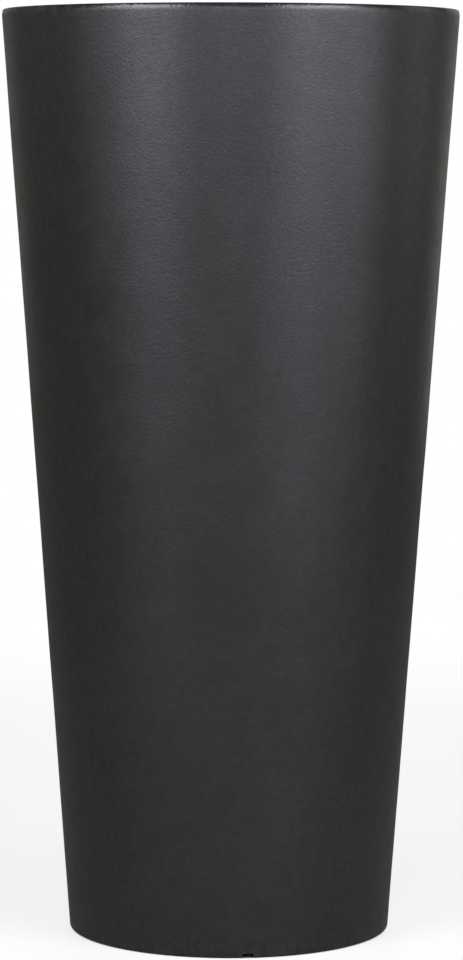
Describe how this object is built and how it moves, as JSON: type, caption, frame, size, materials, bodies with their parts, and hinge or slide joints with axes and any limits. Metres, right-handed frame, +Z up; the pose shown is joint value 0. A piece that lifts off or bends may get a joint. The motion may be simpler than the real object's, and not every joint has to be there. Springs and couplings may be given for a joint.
{
  "type": "floor planter",
  "caption": "Tall round tapered floor planter in charcoal plastic, with a lift-out planting liner that has pull-up handles, a slotted drain plate and drain stoppers.",
  "frame": {"origin": "on the floor, at the centre of the foot ring", "axes": "+Z up along the planter's axis, -Y towards the viewer of the picture, +X to the viewer's right"},
  "size_m": [0.3994, 0.3994, 0.81],
  "materials": {
    "shell_plastic": "matte moulded, fine level grain",
    "liner_plastic": "satin moulded",
    "handle_plastic": "satin moulded, fine spark texture",
    "plate_plastic": "matte moulded",
    "stopper_rubber": "matte rubber",
    "bung_rubber": "matte rubber"
  },
  "bodies": {
    "shell": {"outer_shell": "shell_plastic"},
    "bung": {"drain_bung": "bung_rubber"},
    "liner": {"liner": "liner_plastic"},
    "left_handle": {"left_handle": "handle_plastic"},
    "right_handle": {"right_handle": "handle_plastic"},
    "drain_plate": {"drain_plate": "plate_plastic"},
    "stopper_1": {"liner_stopper_1": "stopper_rubber"},
    "stopper_2": {"liner_stopper_2": "stopper_rubber"},
    "stopper_3": {"liner_stopper_3": "stopper_rubber"}
  },
  "joints": [
    {"name": "liner_lift", "type": "slide", "parent": "shell", "child": "liner", "axis": [0, 0, 1], "range_m": [0, 0.36]},
    {"name": "left_handle_pull", "type": "slide", "parent": "liner", "child": "left_handle", "axis": [0, 0, 1], "range_m": [0, 0.055]},
    {"name": "right_handle_pull", "type": "slide", "parent": "liner", "child": "right_handle", "axis": [0, 0, 1], "range_m": [0, 0.055]},
    {"name": "drain_plate_lift", "type": "slide", "parent": "liner", "child": "drain_plate", "axis": [0, 0, 1], "range_m": [0, 0.335]},
    {"name": "stopper_1_pull", "type": "slide", "parent": "liner", "child": "stopper_1", "axis": [0, 0, 1], "range_m": [0, 0.014]},
    {"name": "stopper_2_pull", "type": "slide", "parent": "liner", "child": "stopper_2", "axis": [0, 0, 1], "range_m": [0, 0.014]},
    {"name": "stopper_3_pull", "type": "slide", "parent": "liner", "child": "stopper_3", "axis": [0, 0, 1], "range_m": [0, 0.014]},
    {"name": "bung_pull", "type": "slide", "parent": "shell", "child": "bung", "axis": [0, 0, 1], "range_m": [0, 0.05]}
  ]
}
